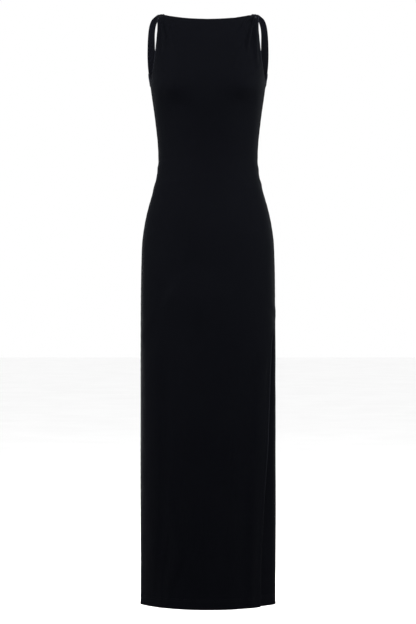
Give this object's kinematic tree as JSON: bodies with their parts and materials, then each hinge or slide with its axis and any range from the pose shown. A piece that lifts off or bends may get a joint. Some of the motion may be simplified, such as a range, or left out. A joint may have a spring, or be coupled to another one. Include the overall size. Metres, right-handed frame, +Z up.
{
  "type": "long column dress, worn form",
  "caption": "Ankle-length sleeveless column dress in black stretch jersey: high boat neck, gathered shoulders, open back, side slit.",
  "frame": {"origin": "midway between the two straps, level with their undersides where they rest on the wearer's shoulders", "axes": "+Z up along the garment, the front faces -Y, the wearer's left side (with the slit) is +X"},
  "size_m": [0.33, 0.2342, 1.4373],
  "materials": {
    "front_jersey": "matt stretch jersey",
    "back_jersey": "matt stretch jersey",
    "strap_left_jersey": "matt stretch jersey",
    "strap_right_jersey": "matt stretch jersey"
  },
  "bodies": {
    "root": {"front_panel": "front_jersey", "back_panel": "back_jersey", "strap_left": "strap_left_jersey", "strap_right": "strap_right_jersey"}
  },
  "joints": []
}
